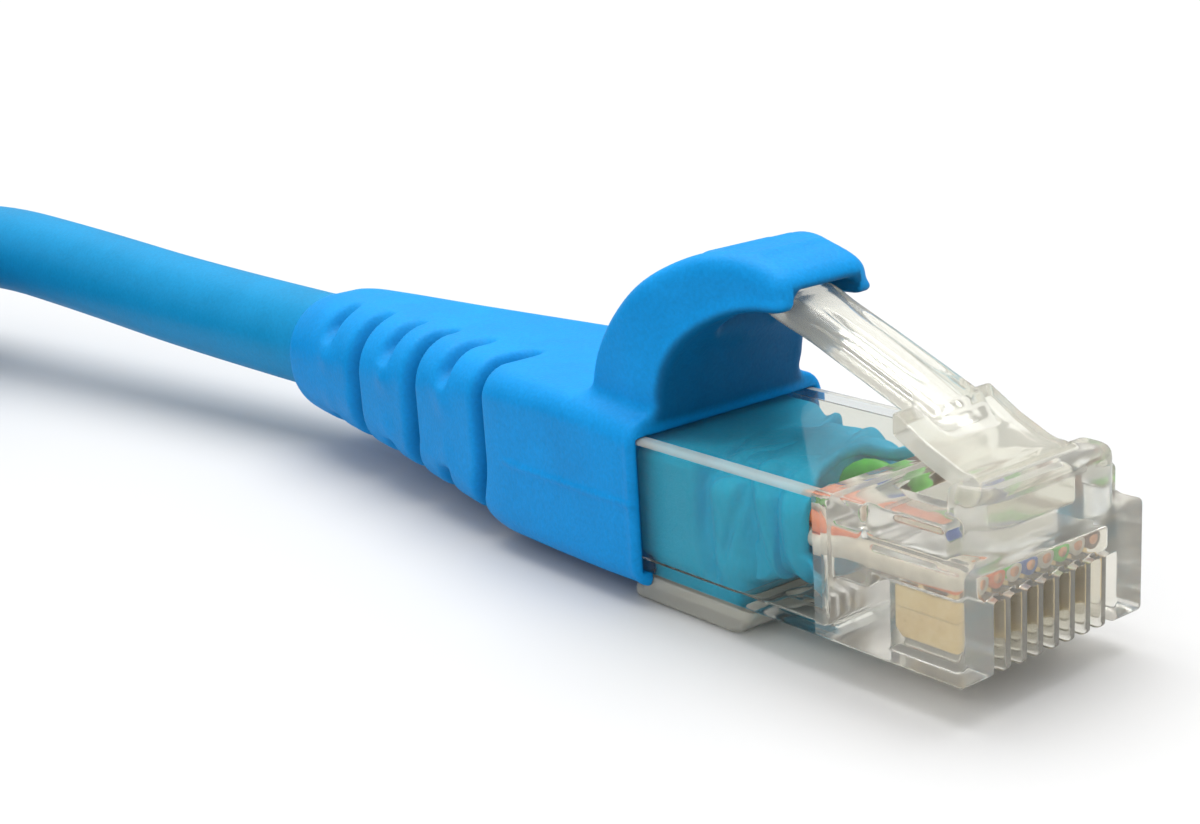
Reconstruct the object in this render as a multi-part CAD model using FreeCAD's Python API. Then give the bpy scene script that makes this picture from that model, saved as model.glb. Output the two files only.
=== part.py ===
"""Ethernet patch cable with a snagless eight-position plug at each end.

Frame: millimetres, +X out of the near plug's nose, +Z up on the latch side, Y across the plug.
The origin is at the bottom centre of the near plug with its boot. The cable leaves along -X,
and its stored length lies in a tied coil on the same surface, with the far plug beside it.
"""
import FreeCAD
import Part
import math
import os

V = FreeCAD.Vector

# Plug body, measured back from the nose face and up from the contact side
BODY_WIDTH = 11.68
BODY_HEIGHT = 6.60
BODY_LENGTH = 20.6
NOSE_HEIGHT = 5.21
NOSE_STEP = 1.16
FOOT_FRONT = 12.2
FOOT_DEPTH = 1.75
FOOT_WIDTH = 10.6
WALL = 0.72

# Contacts and wires, eight across
WAYS = 8
PITCH = 1.02
SLOT_WIDTH = 0.56
SLOT_LENGTH = 5.1
SLOT_TOP = 3.2
BLADE_THICKNESS = 0.34
WIRE_DIAMETER = 0.94
CORE_DIAMETER = 0.50
WIRE_ROW_Z = 3.68
BAY_FRONT = 0.95

# Latch, with its hinge line near the nose
LATCH_HINGE = (-1.95, 7.35)
ROOT_HALF_WIDTH = 4.4
NECK_HALF_WIDTH = 3.1
SHOULDER_HALF_WIDTH = 3.1
LEVER_HALF_WIDTH = 1.6
LATCH_KNUCKLE = 0.55
LATCH_GAP = 0.10

# Boot and latch guard
BOOT_FRONT = 19.6
BOOT_END = 56.5
BOOT_TOP = 7.95
CABLE_Z = 4.2
GUARD_HINGE = (-23.4, 8.55)
GUARD_KNUCKLE = 1.45
GUARD_GAP = 0.20
GUARD_BASE_HALF = 4.9
GUARD_TIP_HALF = 3.1
GUARD_TIP = 12.7

# Cable and its stored coil
CABLE_DIAMETER = 6.1
JACKET_WALL = 0.65
COIL_OUTER_TURN = 36.0
COIL_INNER_TURN = 30.0
COIL_CENTRE = (-84.0, -46.5)
COIL_ENTRY_ANGLE = 102.0
TIE_THICKNESS = 0.8
TIE_LENGTH = 12.0
TIE_ANGLE = 205.0
TAIL_LENGTH = 33.0
TAIL_SWAY = 2.6

# The near plug's frame seen from the row's frame, and the far plug's shift from it
NOSE_X = BOOT_END / 2
BASE_Z = FOOT_DEPTH
FAR_SHIFT = V(COIL_CENTRE[0] + TAIL_LENGTH + NOSE_X, COIL_CENTRE[1] - COIL_OUTER_TURN + TAIL_SWAY, 0)


def box(x_low, x_high, half_width, z_low, z_high):
    """A block that is centred on the plug's middle plane."""
    return Part.makeBox(x_high - x_low, 2 * half_width, z_high - z_low, V(x_low, -half_width, z_low))


def slab(outline, y_low, y_high):
    """An XZ outline extruded across Y."""
    corners = [V(x, y_low, z) for x, z in outline]
    face = Part.Face(Part.makePolygon(corners + corners[:1]))
    return face.extrude(V(0, y_high - y_low, 0))


def rounded_section(x, half_width, z_low, z_high, radius):
    """A closed rounded rectangle in the plane at x, always with eight edges."""
    y0, y1, z0, z1 = -half_width, half_width, z_low, z_high
    inner = radius * (1 - math.sqrt(0.5))
    sides = [
        ((y0 + radius, z0), (y1 - radius, z0), (y1 - inner, z0 + inner), (y1, z0 + radius)),
        ((y1, z0 + radius), (y1, z1 - radius), (y1 - inner, z1 - inner), (y1 - radius, z1)),
        ((y1 - radius, z1), (y0 + radius, z1), (y0 + inner, z1 - inner), (y0, z1 - radius)),
        ((y0, z1 - radius), (y0, z0 + radius), (y0 + inner, z0 + inner), (y0 + radius, z0)),
    ]
    edges = []
    for start, end, middle, corner in sides:
        a, b, c, d = (V(x, y, z) for y, z in (start, end, middle, corner))
        edges.append(Part.LineSegment(a, b).toShape())
        edges.append(Part.Arc(b, c, d).toShape())
    return Part.Wire(edges)


def loft(sections):
    """A ruled solid through rounded sections, given as (x, half width, low z, high z, radius)."""
    return Part.makeLoft([rounded_section(*s) for s in sections], True, True)


def rounded_route(points):
    """Straight runs joined by tangent arcs, each arc as large as its two runs allow."""
    edges = []
    radii = []
    start = points[0]
    for before, corner, after in zip(points, points[1:], points[2:]):
        into = (corner - before).normalize()
        out = (after - corner).normalize()
        turn = into.getAngle(out)
        shorter = min((corner - before).Length, (after - corner).Length)
        radius = 0.45 * shorter / math.tan(turn / 2)
        cut = 0.45 * shorter
        enter = corner - into * cut
        leave = corner + out * cut
        to_centre = (out - into).normalize() * (radius / math.cos(turn / 2))
        middle = corner + to_centre - (out - into).normalize() * radius
        edges.append(Part.LineSegment(start, enter).toShape())
        edges.append(Part.Arc(enter, middle, leave).toShape())
        radii.append(radius)
        start = leave
    edges.append(Part.LineSegment(start, points[-1]).toShape())
    return Part.Wire(edges), radii


def tube(points, diameter):
    """A round solid along a rounded route, with its route's length and radii."""
    route, radii = rounded_route(points)
    heading = (points[1] - points[0]).normalize()
    ring = Part.Wire(Part.Circle(points[0], heading, diameter / 2).toShape())
    return route.makePipeShell([ring], True, True), route.Length, radii


def housing():
    """Clear body with nose step, rear foot, latch root, contact slots and cavities."""
    half = BODY_WIDTH / 2
    side = [
        (0, 0), (0, NOSE_HEIGHT), (-NOSE_STEP, NOSE_HEIGHT), (-NOSE_STEP, BODY_HEIGHT),
        (-BODY_LENGTH, BODY_HEIGHT), (-BODY_LENGTH, 0),
    ]
    body = slab(side, -half, half)
    foot = [
        (-FOOT_FRONT, 0.2), (-FOOT_FRONT - 1.4, -FOOT_DEPTH + 0.25), (-FOOT_FRONT - 2.2, -FOOT_DEPTH),
        (-BODY_LENGTH - 0.6, -FOOT_DEPTH), (-BODY_LENGTH - 0.6, -0.95), (-BODY_LENGTH, -0.95),
        (-BODY_LENGTH, 0.2),
    ]
    body = body.fuse(slab(foot, -FOOT_WIDTH / 2, FOOT_WIDTH / 2))
    root = [(0, 4.5), (0, 7.45), (-0.55, 7.95), (-1.3, 7.95), (-1.3, 4.5)]
    body = body.fuse(slab(root, -ROOT_HALF_WIDTH, ROOT_HALF_WIDTH))
    neck = [(-1.2, 5.5), (-1.2, 7.95), (-1.7, 7.95), (-2.4, 6.55), (-2.4, 5.5)]
    body = body.fuse(slab(neck, -NECK_HALF_WIDTH, NECK_HALF_WIDTH))
    trough = Part.makeCylinder(
        LATCH_KNUCKLE + LATCH_GAP, 2 * half, V(LATCH_HINGE[0], -half, LATCH_HINGE[1]), V(0, 1, 0)
    )
    body = body.cut(trough)
    body = body.cut(box(-BODY_LENGTH - 2, -8.0, half - WALL, 0.3, 6.1))
    body = body.cut(box(-8.1, -6.0, 4.3, 2.5, 5.0))
    body = body.cut(box(-6.1, -BAY_FRONT, 4.12, 3.15, 4.25))
    for way in range(WAYS):
        y = (way - (WAYS - 1) / 2) * PITCH
        slot = Part.makeBox(SLOT_LENGTH + 1, SLOT_WIDTH, SLOT_TOP + 1, V(-SLOT_LENGTH, y - SLOT_WIDTH / 2, -1))
        body = body.cut(slot)
    bar = [(-12.3, 0.2), (-12.3, 0.42), (-9.7, 1.55), (-9.1, 1.55), (-8.5, 0.5), (-8.5, 0.2)]
    body = body.fuse(slab(bar, -3.0, 3.0))
    return body.removeSplitter()


def latch():
    """Hinge knuckle, ramped plate, two locking shoulders and the narrow lever, as one solid."""
    knuckle = Part.makeCylinder(
        LATCH_KNUCKLE, 2 * NECK_HALF_WIDTH, V(LATCH_HINGE[0], -NECK_HALF_WIDTH, LATCH_HINGE[1]), V(0, 1, 0)
    )
    plate = [
        (-1.9, 7.88), (-2.6, 8.1), (-4.4, 8.9), (-6.2, 9.9), (-6.2, 8.75), (-4.6, 7.95), (-3.0, 7.25), (-2.2, 7.0),
    ]
    lever = [
        (-4.4, 8.9), (-5.1, 10.05), (-9.9, 11.95), (-13.6, 13.35), (-14.7, 13.6), (-15.2, 13.1),
        (-15.0, 12.45), (-7.6, 9.45), (-5.6, 8.6),
    ]
    shape = knuckle.fuse(slab(plate, -SHOULDER_HALF_WIDTH, SHOULDER_HALF_WIDTH))
    shape = shape.fuse(slab(lever, -LEVER_HALF_WIDTH, LEVER_HALF_WIDTH))
    return shape.removeSplitter()


def jacket_sections(inset):
    """The cable jacket from the boot's end to its mouth, pressed flatter inside the plug."""
    r = CABLE_DIAMETER / 2 - inset
    low, high, half = 0.62 + inset, 5.95 - inset, 3.05 - inset
    flat = min(half, (high - low) / 2) - 0.05
    return [
        (-BOOT_END, r, CABLE_Z - r, CABLE_Z + r, r - 0.02),
        (-26.0, r, CABLE_Z - r, CABLE_Z + r, r - 0.02),
        (-20.0, half, low, high, flat),
        (-10.6, half, low, high, flat),
    ]


def jacket_end():
    """Hollow jacket with the mouth cut back on a slope at its lower front."""
    inner = jacket_sections(JACKET_WALL)
    inner[0] = (inner[0][0] - 1,) + inner[0][1:]
    inner[-1] = (inner[-1][0] + 1,) + inner[-1][1:]
    shell = loft(jacket_sections(0)).cut(loft(inner))
    slope = slab([(-12.6, 0), (-10.4, 6.5), (-9, 6.5), (-9, 0)], -5, 5)
    return shell.cut(slope)


def boot():
    """Soft sleeve: square front, tapering strain relief, and the block inside the housing."""
    sleeve = loft([
        (-BOOT_END, 3.6, 0.95, 7.35, 3.1),
        (-BOOT_END + 1.6, 4.0, 0.5, 7.7, 3.4),
        (-51.0, 4.4, 0.3, BOOT_TOP, 3.4),
        (-44.0, 4.9, -0.1, BOOT_TOP, 3.2),
        (-36.0, 5.6, -0.6, BOOT_TOP, 2.6),
        (-30.0, 6.2, -0.85, BOOT_TOP, 1.8),
        (-BOOT_FRONT, 6.5, -0.85, BOOT_TOP, 1.2),
    ])
    sleeve = sleeve.cut(box(-BODY_LENGTH - 0.05, -BOOT_FRONT + 1, BODY_WIDTH / 2 + 0.02, -0.02, BODY_HEIGHT + 0.02))
    sleeve = sleeve.cut(box(-BODY_LENGTH - 0.65, -BOOT_FRONT + 1, FOOT_WIDTH / 2 + 0.02, -2.2, 0.2))
    plug = box(-BODY_LENGTH - 1.5, -13.8, BODY_WIDTH / 2 - WALL - 0.04, 0.34, 6.06)
    shape = sleeve.fuse(plug).cut(loft(jacket_sections(0)))
    trough = Part.makeCylinder(
        GUARD_KNUCKLE + GUARD_GAP, 2 * GUARD_BASE_HALF + 0.8,
        V(GUARD_HINGE[0], -GUARD_BASE_HALF - 0.4, GUARD_HINGE[1]), V(0, 1, 0)
    )
    return shape.cut(trough)


def latch_guard():
    """Arch over the latch tip: knuckle at its root, tapering tongue, channel for the lever."""
    x0, z0 = GUARD_HINGE
    knuckle = Part.makeCylinder(GUARD_KNUCKLE, 2 * GUARD_BASE_HALF, V(x0, -GUARD_BASE_HALF, z0), V(0, 1, 0))
    arch = [
        (-24.85, 8.75), (-24.2, 10.1), (-22.6, 12.0), (-20.2, 13.9), (-17.6, 15.1), (-15.2, 15.55),
        (-13.4, 15.45), (-GUARD_TIP, 15.0), (-GUARD_TIP, 13.25), (-14.2, 13.0), (-15.8, 13.0),
        (-17.6, 12.3), (-19.6, 11.1), (-21.0, 10.0), (-22.2, 9.5), (-23.4, 8.75),
    ]
    plan = [
        V(-26, -GUARD_BASE_HALF, 0), V(-21, -GUARD_BASE_HALF, 0), V(-15.5, -GUARD_TIP_HALF, 0),
        V(-12, -GUARD_TIP_HALF, 0), V(-12, GUARD_TIP_HALF, 0), V(-15.5, GUARD_TIP_HALF, 0),
        V(-21, GUARD_BASE_HALF, 0), V(-26, GUARD_BASE_HALF, 0),
    ]
    outline = Part.Face(Part.makePolygon(plan + plan[:1])).extrude(V(0, 0, 20))
    shape = slab(arch, -GUARD_BASE_HALF, GUARD_BASE_HALF).common(outline).fuse(knuckle)
    channel = slab([(-17.8, 11.0), (-16.2, 14.1), (-12, 14.3), (-12, 11)], -2.0, 2.0)
    return shape.cut(channel).removeSplitter()


def contact(way):
    """Blade with two insulation-piercing teeth."""
    y = (way - (WAYS - 1) / 2) * PITCH
    outline = [
        (-1.4, 0.75), (-1.15, 1.0), (-1.15, 2.95), (-1.75, 2.95), (-1.95, 3.75), (-2.15, 2.95),
        (-3.35, 2.95), (-3.55, 3.75), (-3.75, 2.95), (-4.85, 2.95), (-4.85, 1.05), (-4.55, 0.75),
    ]
    return slab(outline, y - BLADE_THICKNESS / 2, y + BLADE_THICKNESS / 2)


def wire_route(way):
    """From its pair inside the jacket to its own place in the flat row over the contacts."""
    pair, row = divmod(way, 2)
    y_pair = (pair - 1.5) * 1.05
    y_row = (way - (WAYS - 1) / 2) * PITCH
    z_pair = 2.65 + 1.25 * row
    return [
        V(-17.0, y_pair, z_pair), V(-11.2, y_pair, z_pair), V(-8.5, y_row, z_pair),
        V(-6.5, y_row, WIRE_ROW_Z), V(-BAY_FRONT - 0.25, y_row, WIRE_ROW_Z),
    ]


def wire(way):
    """Insulation as a hollow tube, and the copper core that fills it."""
    route = wire_route(way)
    core, _, _ = tube(route, CORE_DIAMETER)
    skin, _, _ = tube(route, WIRE_DIAMETER)
    return skin.cut(core), core


def plug_pieces():
    """Every piece of one plug in the plug's own frame, by name."""
    pieces = {
        "housing": housing(),
        "latch": latch(),
        "boot": boot(),
        "latch_guard": latch_guard(),
        "jacket_end": jacket_end(),
    }
    cores = []
    for way in range(WAYS):
        pieces[f"contact_{way + 1}"] = contact(way)
        pieces[f"wire_{way + 1}"], core = wire(way)
        cores.append(core)
    pieces["copper_cores"] = Part.makeCompound(cores)
    return pieces


def on_circle(radius, angle, z):
    """A point of the coil, with its angle in degrees about the coil's centre."""
    a = math.radians(angle)
    return V(COIL_CENTRE[0] + radius * math.cos(a), COIL_CENTRE[1] + radius * math.sin(a), z)


def cable_lead():
    """From the near boot down to the surface and round into the coil's outer turn."""
    floor = CABLE_DIAMETER / 2 + 0.03
    exit_z = BASE_Z + CABLE_Z
    points = [
        V(-NOSE_X, 0, exit_z),
        V(-42.5, 0, exit_z),
        V(-58.0, -2.6, 5.6),
        V(-72.5, -5.9, 4.2),
        V(-84.5, -9.4, floor),
        on_circle(COIL_OUTER_TURN, COIL_ENTRY_ANGLE, floor),
    ]
    return tube(points, CABLE_DIAMETER)


def cable_tail():
    """From the coil's top turn down to the far boot."""
    top = CABLE_DIAMETER * 1.5
    exit_z = BASE_Z + CABLE_Z
    x, y = COIL_CENTRE[0], COIL_CENTRE[1] - COIL_OUTER_TURN
    points = [
        V(x, y, top), V(x + 10, y + 0.2, top - 0.6), V(x + 21.5, y + TAIL_SWAY, exit_z),
        V(x + TAIL_LENGTH, y + TAIL_SWAY, exit_z),
    ]
    return tube(points, CABLE_DIAMETER)


def ring(inner, outer, z_low, z_high):
    """A square-sectioned ring about the coil's centre."""
    centre = V(COIL_CENTRE[0], COIL_CENTRE[1], z_low)
    solid = Part.makeCylinder(outer, z_high - z_low, centre)
    return solid.cut(Part.makeCylinder(inner, z_high - z_low, centre))


def cable_coil():
    """The outer shape of the stored turns, two beside each other and two high."""
    r = CABLE_DIAMETER / 2
    return ring(COIL_INNER_TURN - r, COIL_OUTER_TURN + r, 0, 4 * r)


def cable_tie():
    """A strap round the coil's section at one place."""
    r = CABLE_DIAMETER / 2
    t = TIE_THICKNESS
    band = ring(COIL_INNER_TURN - r - t, COIL_OUTER_TURN + r + t, 0, 4 * r + t)
    width = Part.makeBox(60, TIE_LENGTH, 40, V(0, -TIE_LENGTH / 2, -10))
    width.rotate(V(0, 0, 0), V(0, 0, 1), TIE_ANGLE)
    width.translate(V(COIL_CENTRE[0], COIL_CENTRE[1], 0))
    return band.common(width).cut(cable_coil())


def export(name, shape, shift):
    shape = shape.copy()
    shape.translate(shift)
    shape.exportStep(f"parts/{name}.step")


os.makedirs("parts", exist_ok=True)
to_row = V(NOSE_X, 0, BASE_Z)
for name, shape in plug_pieces().items():
    export(name, shape, to_row)
    export("far_" + name, shape, to_row + FAR_SHIFT)

for name, (shape, length, radii) in {"cable_lead": cable_lead(), "cable_tail": cable_tail()}.items():
    export(name, shape, V(0, 0, 0))
    section = math.pi * CABLE_DIAMETER ** 2 / 4
    print(f"{name}: length {length:.1f}, volume over section times length {shape.Volume / (section * length):.4f}")
    print("   radii", [round(r, 1) for r in radii])
export("cable_coil", cable_coil(), V(0, 0, 0))
export("cable_tie", cable_tie(), V(0, 0, 0))
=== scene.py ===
# The looks of an ethernet patch cable. Plug shapes are worked out in the plug's own frame, in
# millimetres: x is 0 at the nose face and negative towards the cable, z is 0 at the contact side.
import math
from types import SimpleNamespace

import bmesh
import bpy
import numpy as np
import openvdb
from mathutils import Matrix, Vector


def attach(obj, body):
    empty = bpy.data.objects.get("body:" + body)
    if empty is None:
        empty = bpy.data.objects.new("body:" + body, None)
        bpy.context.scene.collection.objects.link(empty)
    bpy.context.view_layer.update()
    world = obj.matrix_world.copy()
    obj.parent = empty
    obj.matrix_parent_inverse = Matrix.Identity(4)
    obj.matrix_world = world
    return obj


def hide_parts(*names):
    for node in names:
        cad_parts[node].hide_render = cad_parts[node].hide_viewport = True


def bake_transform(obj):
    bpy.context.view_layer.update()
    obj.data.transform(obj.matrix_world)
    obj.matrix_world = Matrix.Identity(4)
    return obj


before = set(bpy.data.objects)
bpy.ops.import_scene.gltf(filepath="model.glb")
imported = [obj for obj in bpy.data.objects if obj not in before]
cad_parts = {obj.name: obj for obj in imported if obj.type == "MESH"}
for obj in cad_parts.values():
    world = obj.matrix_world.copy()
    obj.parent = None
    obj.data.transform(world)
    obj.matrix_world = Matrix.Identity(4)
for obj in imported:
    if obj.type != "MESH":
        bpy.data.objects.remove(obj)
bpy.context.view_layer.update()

MM = 0.001
NOSE_X = 28.25
BASE_Z = 1.75
FAR_SHIFT = (-22.75, -79.9, 0.0)
NEAR = (NOSE_X, 0.0, BASE_Z)
FAR = (NOSE_X + FAR_SHIFT[0], FAR_SHIFT[1], BASE_Z)
PLUGS = {"": NEAR, "far_": FAR}

# Plug body
HALF = 5.84
HEIGHT = 6.60
LENGTH = 20.6
NOSE_HEIGHT = 5.21
NOSE_STEP = 1.16
WAYS = 8
PITCH = 1.02
WIRE_ROW_Z = 3.70
SLOT_WIDTH = 0.56
FOOT_POCKET = -1.15
NOSE_START = -8.2
WIRE_RADIUS = 0.48
CORE_RADIUS = 0.25

# Latch
LATCH_PIVOT = (-1.95, 7.35)
KNUCKLE_RADIUS = 0.58
KNUCKLE_HALF = 3.05
KNUCKLE_GAP = 0.05

# Boot and cable
BOOT_FRONT = -19.6
BOOT_END = -56.5
CABLE_Z = 4.2
CABLE_DIAMETER = 6.1
CABLE_RADIUS = CABLE_DIAMETER / 2
ON_FLOOR = CABLE_RADIUS + 0.03

# Coil; its angles are in degrees, counted on from turn to turn
OUTER_TURN = 36.0
INNER_TURN = 30.0
COIL_CENTRE = (-84.0, -46.5)
ENTRY_ANGLE = 102.0
EXIT_ANGLE = 270.0 + 3 * 360.0
POINTS_PER_TURN = 16
TURN_IN = (385, 450)
STEP_UP = (688, 750)
TURN_OUT = (980, 1045)
TIE_ANGLE = 205.0
TIE_HALF_LENGTH = 6.0
TIE_THICKNESS = 0.8
TIE_LIFT = 0.85


def row(point):
    """Millimetres in the row frame as a Blender vector in metres."""
    return Vector(point) * MM


# ---------------------------------------------------------------- shapes as distance fields

class Grid:
    """A box of evenly spaced sample points, with coordinates that broadcast against each other."""

    def __init__(self, low, high, step):
        self.low, self.step = np.array(low, float), step
        axes = [np.arange(a, b + step, step, dtype=np.float32) for a, b in zip(low, high)]
        self.x = axes[0][:, None, None]
        self.y = axes[1][None, :, None]
        self.z = axes[2][None, None, :]


def ramp(value, start, end):
    """0 before start and 1 after end, smooth between them."""
    t = np.clip((value - start) / (end - start), 0, 1)
    return t * t * (3 - 2 * t)


def hump(value, centre, width):
    return np.exp(-(((value - centre) / width) ** 2))


def join(a, b, fillet):
    """Union of two fields with a fillet in the corner between them."""
    h = np.clip(0.5 + 0.5 * (b - a) / fillet, 0, 1)
    return b * (1 - h) + a * h - fillet * h * (1 - h)


def common(a, b, fillet):
    return -join(-a, -b, fillet)


def cut(a, b, fillet):
    return -join(-a, b, fillet)


def inset(outline, distance):
    """A closed outline moved inwards, with its corners kept sharp."""
    n = len(outline)
    following = outline[1:] + outline[:1]
    area = sum(a[0] * b[1] - b[0] * a[1] for a, b in zip(outline, following))
    turn = 1 if area > 0 else -1
    moved = []
    for i in range(n):
        p, q, r = (np.array(outline[(i + k) % n], float) for k in (-1, 0, 1))
        u, v = (q - p) / np.linalg.norm(q - p), (r - q) / np.linalg.norm(r - q)
        nu, nv = turn * np.array((-u[1], u[0])), turn * np.array((-v[1], v[0]))
        miter = (nu + nv) / max(1 + nu @ nv, 0.3)
        moved.append(tuple(q + miter * distance))
    return moved


def outline_field(outline, u, v):
    """Signed distance to a closed outline, negative inside."""
    best, inside = np.float32(1e9), False
    for (u0, v0), (u1, v1) in zip(outline, outline[1:] + outline[:1]):
        eu, ev = u1 - u0, v1 - v0
        t = np.clip(((u - u0) * eu + (v - v0) * ev) / (eu * eu + ev * ev), 0, 1)
        best = np.minimum(best, (u - u0 - t * eu) ** 2 + (v - v0 - t * ev) ** 2)
        if v0 != v1:
            crosses = (v0 <= v) != (v1 <= v)
            inside = inside ^ (crosses & (u < u0 + (v - v0) / (v1 - v0) * eu))
    return np.where(inside, -1, 1) * np.sqrt(best)


def rounded(a, b, edge):
    """Two fields at right angles as one, each moved in by edge and round at their corner."""
    outside = np.sqrt(np.maximum(a, 0) ** 2 + np.maximum(b, 0) ** 2)
    return outside + np.minimum(np.maximum(a, b), 0) - edge


def box_field(g, low, high, edge):
    """A block with rounded edges."""
    q = []
    for coordinate, a, b in zip((g.x, g.y, g.z), low, high):
        q.append(np.abs(coordinate - (a + b) / 2) - ((b - a) / 2 - edge))
    outside = np.sqrt(sum(np.maximum(c, 0) ** 2 for c in q))
    return outside + np.minimum(np.maximum(np.maximum(q[0], q[1]), q[2]), 0) - edge


def slab_field(g, outline, y_low, y_high, edge):
    """An XZ outline extruded across Y, with rounded edges."""
    flat = outline_field(inset(outline, edge), g.x, g.z)
    across = np.abs(g.y - (y_low + y_high) / 2) - ((y_high - y_low) / 2 - edge)
    return rounded(flat, across, edge)


def along(x, stations, column):
    """A smoothed column of a table of stations, at every x."""
    xs = [s[0] for s in stations]
    values = [s[column] for s in stations]
    shifts = np.linspace(-0.6, 0.6, 7)
    return sum(np.interp(x + s, xs, values) for s in shifts) / len(shifts)


def section_field(g, half, low, high, edge):
    """A rounded section across the plug, whose sizes may change along x."""
    across = np.abs(g.y) - (half - edge)
    up = np.abs(g.z - (low + high) / 2) - ((high - low) / 2 - edge)
    return rounded(across, up, edge)


def smooth_line(points, parts=6):
    """Points along a Catmull-Rom curve through the given points."""
    p = [np.array(q, float) for q in points]
    p = [2 * p[0] - p[1]] + p + [2 * p[-1] - p[-2]]
    line = []
    for a, b, c, d in zip(p, p[1:], p[2:], p[3:]):
        for k in range(parts):
            t = k / parts
            line.append(tuple(0.5 * (2 * b + (c - a) * t + (2 * a - 5 * b + 4 * c - d) * t * t
                                     + (3 * b - a - 3 * c + d) * t ** 3)))
    return line + [tuple(p[-2])]


def skin(name, g, field):
    """The field's surface as a smooth mesh, in metres in the plug's own frame."""
    band = 3 * g.step
    vdb = openvdb.FloatGrid(band)
    vdb.copyFromArray(np.ascontiguousarray(np.clip(field, -band, band), dtype=np.float32))
    points, quads = vdb.convertToQuads(0.0)
    points = (points * g.step + g.low) * MM
    corners = points[quads]
    volume = np.einsum("ij,ij->i", corners[:, 0], np.cross(corners[:, 1], corners[:, 2])).sum()
    if volume < 0:
        quads = quads[:, ::-1]
    mesh = bpy.data.meshes.new(name)
    mesh.vertices.add(len(points))
    mesh.vertices.foreach_set("co", points.astype(np.float32).ravel())
    mesh.loops.add(quads.size)
    mesh.loops.foreach_set("vertex_index", quads.astype(np.int32).ravel())
    mesh.polygons.add(len(quads))
    mesh.polygons.foreach_set("loop_start", np.arange(0, quads.size, 4, dtype=np.int32))
    mesh.update(calc_edges=True)
    mesh.validate()
    mesh.shade_smooth()
    return mesh


# ---------------------------------------------------------------- materials

def new_material(name, colour, roughness, **inputs):
    material = bpy.data.materials.new(name)
    material.use_nodes = True
    shader = material.node_tree.nodes["Principled BSDF"]
    shader.inputs["Base Color"].default_value = (*colour, 1)
    shader.inputs["Roughness"].default_value = roughness
    for key, value in inputs.items():
        shader.inputs[key.replace("_", " ")].default_value = value
    return material, material.node_tree, shader


def link(tree, out_node, out_socket, in_node, in_socket):
    tree.links.new(out_node.outputs[out_socket], in_node.inputs[in_socket])


def texture(tree, kind, scale, **inputs):
    """A texture node on the object's own coordinates, with its scale in features per metre."""
    where = tree.nodes.new("ShaderNodeTexCoord")
    node = tree.nodes.new(kind)
    link(tree, where, "Object", node, "Vector")
    node.inputs["Scale"].default_value = scale
    for key, value in inputs.items():
        node.inputs[key].default_value = value
    return node


def spread(tree, node, socket, low, high, a, b):
    """Remaps a texture's value from low..high to a..b."""
    remap = tree.nodes.new("ShaderNodeMapRange")
    for key, value in (("From Min", low), ("From Max", high), ("To Min", a), ("To Max", b)):
        remap.inputs[key].default_value = value
    link(tree, node, socket, remap, "Value")
    return remap


def colours(tree, node, socket, stops):
    """A colour ramp over a texture's value, as (position, colour) stops."""
    ramp_node = tree.nodes.new("ShaderNodeValToRGB")
    elements = ramp_node.color_ramp.elements
    while len(elements) < len(stops):
        elements.new(0.5)
    for element, (position, colour) in zip(elements, stops):
        element.position = position
        element.color = (*colour, 1)
    link(tree, node, socket, ramp_node, "Fac")
    return ramp_node


def bump(tree, shader, node, socket, strength, distance, before=None):
    bump_node = tree.nodes.new("ShaderNodeBump")
    bump_node.inputs["Strength"].default_value = strength
    bump_node.inputs["Distance"].default_value = distance
    link(tree, node, socket, bump_node, "Height")
    if before:
        link(tree, before, "Normal", bump_node, "Normal")
    link(tree, bump_node, "Normal", shader, "Normal")
    return bump_node


def moulded_blue(name, deep, light, roughness, grain, with_painted_shade=False):
    """Soft blue moulding: slight cloudiness, fine grain, uneven sheen; with painted shade taken from the
    mesh's shade attribute if asked.
    """
    material, tree, shader = new_material(name, deep, roughness, Specular_IOR_Level=0.10)
    cloud = texture(tree, "ShaderNodeTexNoise", 260, Detail=4, Roughness=0.6)
    tint = colours(tree, cloud, "Fac", [(0.32, deep), (0.68, light)])
    fine = texture(tree, "ShaderNodeTexNoise", 5200, Detail=3, Roughness=0.65)
    speckle = spread(tree, fine, "Fac", 0.3, 0.7, 0.92, 1.08)
    tone = tree.nodes.new("ShaderNodeHueSaturation")
    link(tree, tint, "Color", tone, "Color")
    link(tree, speckle, "Result", tone, "Value")
    # painted shade: the colour's value is multiplied by the boot's shade attribute, darker in the grooves
    # and under the guard
    if with_painted_shade:
        crease = tree.nodes.new("ShaderNodeAttribute")
        crease.attribute_name = "shade"
        product = tree.nodes.new("ShaderNodeMath")
        product.operation = "MULTIPLY"
        tree.links.new(speckle.outputs["Result"], product.inputs[0])
        tree.links.new(crease.outputs["Fac"], product.inputs[1])
        link(tree, product, "Value", tone, "Value")
    link(tree, tone, "Color", shader, "Base Color")
    rough = spread(tree, cloud, "Fac", 0.3, 0.7, roughness - 0.05, roughness + 0.08)
    link(tree, rough, "Result", shader, "Roughness")
    first = bump(tree, shader, fine, "Fac", 0.5, grain)
    coarse = texture(tree, "ShaderNodeTexNoise", 900, Detail=2)
    bump(tree, shader, coarse, "Fac", 0.25, grain * 1.5, first)
    return material


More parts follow.
